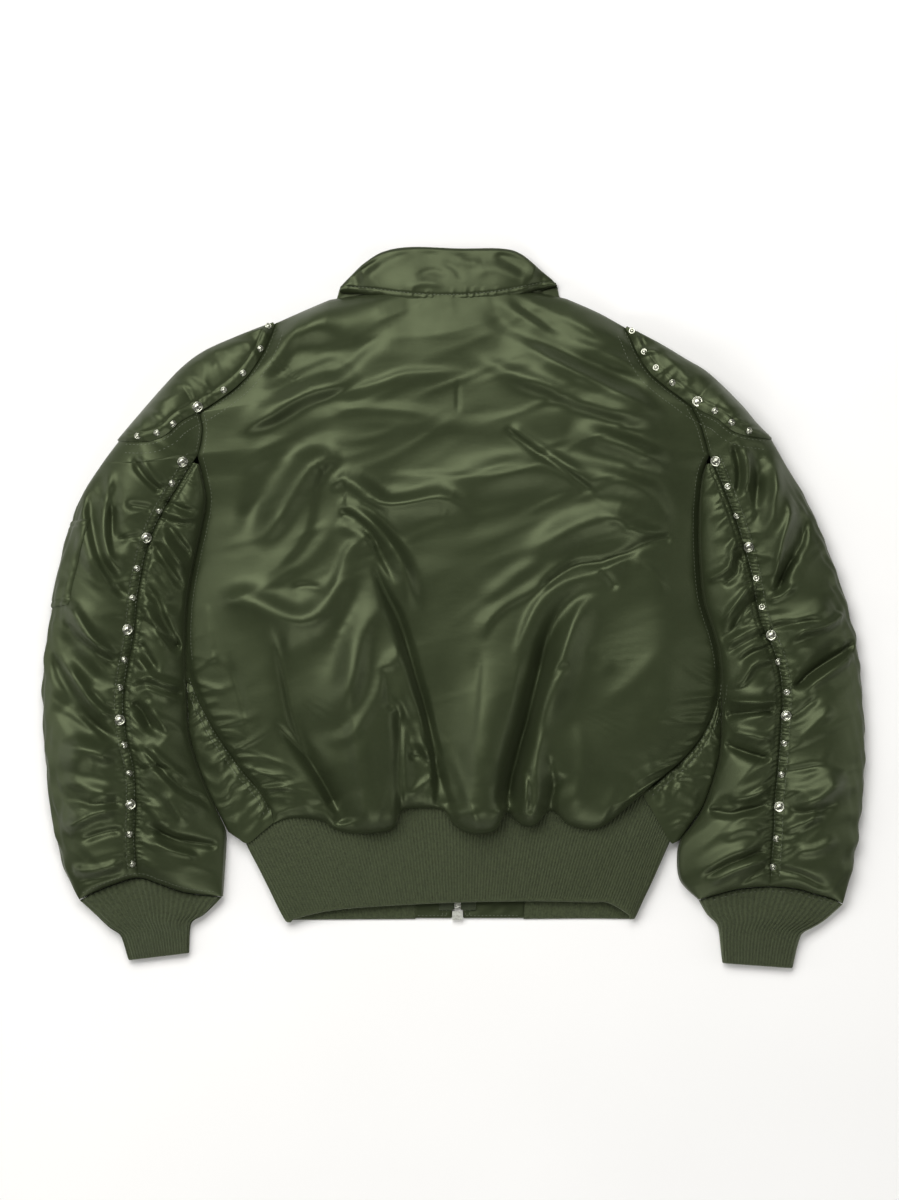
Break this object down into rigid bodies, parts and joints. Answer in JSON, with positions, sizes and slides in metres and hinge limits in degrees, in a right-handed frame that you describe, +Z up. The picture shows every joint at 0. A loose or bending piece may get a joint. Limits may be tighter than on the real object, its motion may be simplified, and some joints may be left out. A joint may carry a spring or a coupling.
{
  "type": "bomber jacket",
  "caption": "Padded satin flight jacket lying face down, with studded saddle shoulders and sleeves, a pleated back, a shirt collar, and ribbed cuffs and waistband.",
  "frame": {"origin": "centre of the bounding box in plan, on the surface that the jacket lies on", "axes": "+Z up out of the back of the jacket, +Y from the hem towards the collar, +X towards the picture's right, across the spread sleeves"},
  "size_m": [0.8205, 0.7206, 0.0508],
  "materials": {
    "satin": "sage green nylon satin, soft sheen",
    "rib": "matt knitted rib",
    "zip_tape": "matt woven tape",
    "zip_metal": "satin nickel",
    "stud_metal": "polished nickel"
  },
  "bodies": {
    "jacket": {"back_panel": "satin", "back_gusset_left": "satin", "back_gusset_right": "satin", "front_left": "satin", "front_right": "satin", "side_panel_left": "satin", "side_panel_right": "satin", "saddle_left": "satin", "saddle_right": "satin", "sleeve_outer_left": "satin", "sleeve_outer_right": "satin", "sleeve_inner_left": "satin", "sleeve_inner_right": "satin", "sleeve_under_left": "satin", "sleeve_under_right": "satin", "sleeve_pocket": "satin", "collar": "satin", "waistband": "rib", "waistband_end_left": "satin", "waistband_end_right": "satin", "cuff_left": "rib", "cuff_right": "rib", "zip_tape_left": "zip_tape", "zip_tape_right": "zip_tape", "zip_chain": "zip_metal", "zip_box": "zip_metal", "zip_slider": "zip_metal", "stud_large_left_1": "stud_metal", "stud_large_left_2": "stud_metal", "stud_large_left_3": "stud_metal", "stud_large_left_4": "stud_metal", "stud_large_left_5": "stud_metal", "stud_large_left_6": "stud_metal", "stud_large_right_1": "stud_metal", "stud_large_right_2": "stud_metal", "stud_large_right_3": "stud_metal", "stud_large_right_4": "stud_metal", "stud_large_right_5": "stud_metal", "stud_large_right_6": "stud_metal", "stud_small_left_1": "stud_metal", "stud_small_left_2": "stud_metal", "stud_small_left_3": "stud_metal", "stud_small_left_4": "stud_metal", "stud_small_left_5": "stud_metal", "stud_small_left_6": "stud_metal", "stud_small_left_7": "stud_metal", "stud_small_right_1": "stud_metal", "stud_small_right_2": "stud_metal", "stud_small_right_3": "stud_metal", "stud_small_right_4": "stud_metal", "stud_small_right_5": "stud_metal", "stud_small_right_6": "stud_metal", "stud_small_right_7": "stud_metal"},
    "pull_tab": {"zip_pull_tab": "zip_metal"}
  },
  "joints": [
    {"name": "pull_tab_swing", "type": "hinge", "parent": "jacket", "child": "pull_tab", "pos_m": [0.004, 0.25525, 0.0013], "axis": [1, 0, 0], "range_deg": [0, 180]}
  ]
}
